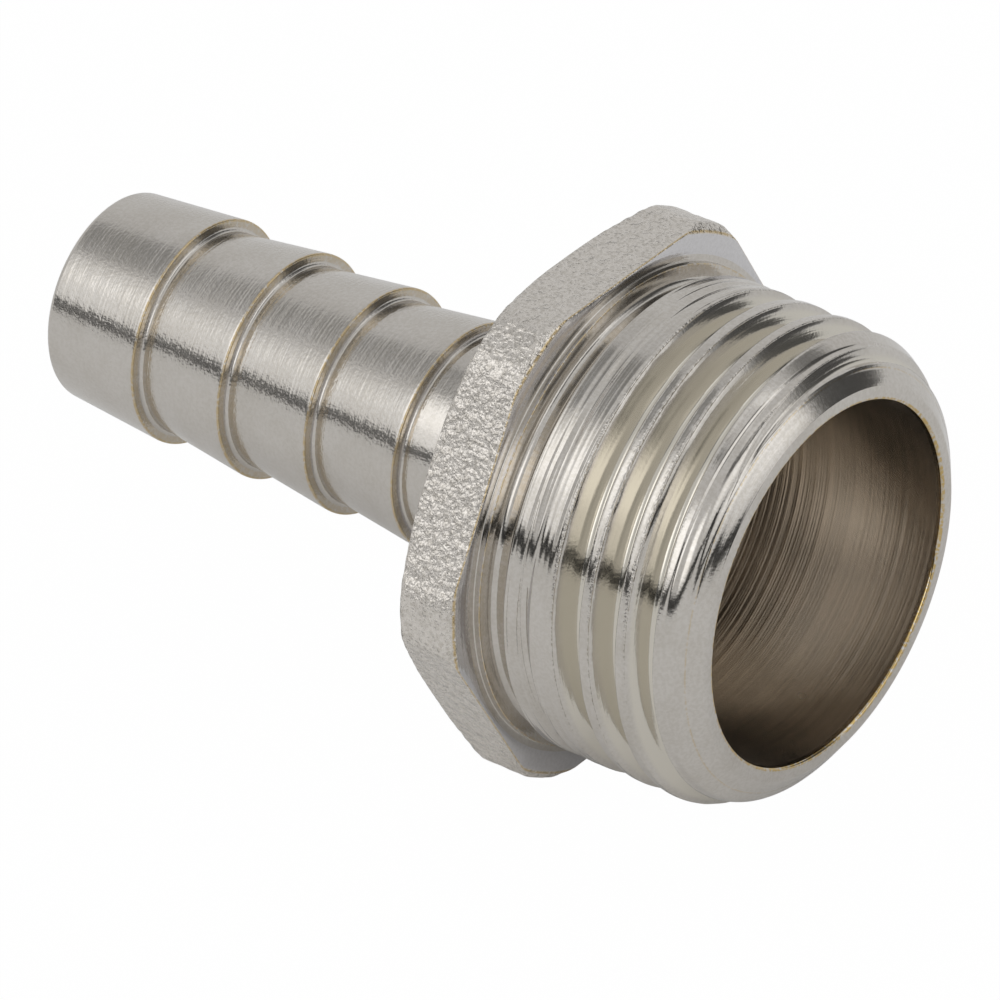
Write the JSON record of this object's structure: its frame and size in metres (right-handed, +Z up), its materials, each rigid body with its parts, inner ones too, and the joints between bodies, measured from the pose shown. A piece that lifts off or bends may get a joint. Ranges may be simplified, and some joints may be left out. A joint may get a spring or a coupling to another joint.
{
  "type": "hose barb tail",
  "caption": "Nickel-plated brass hose tail: barbed stem, thin hexagon and male pipe thread in one turned piece, with a through passage.",
  "frame": {"origin": "centre of the hexagon's lower flat, on which the piece rests", "axes": "+X along the turning axis towards the thread's end, +Z up; the axis is half the hexagon's size across flats above the origin"},
  "size_m": [0.0374, 0.0242, 0.022],
  "materials": {
    "plated_brass": "nickel plated, satin turned"
  },
  "bodies": {
    "root": {"hose_tail": "plated_brass"}
  },
  "joints": []
}
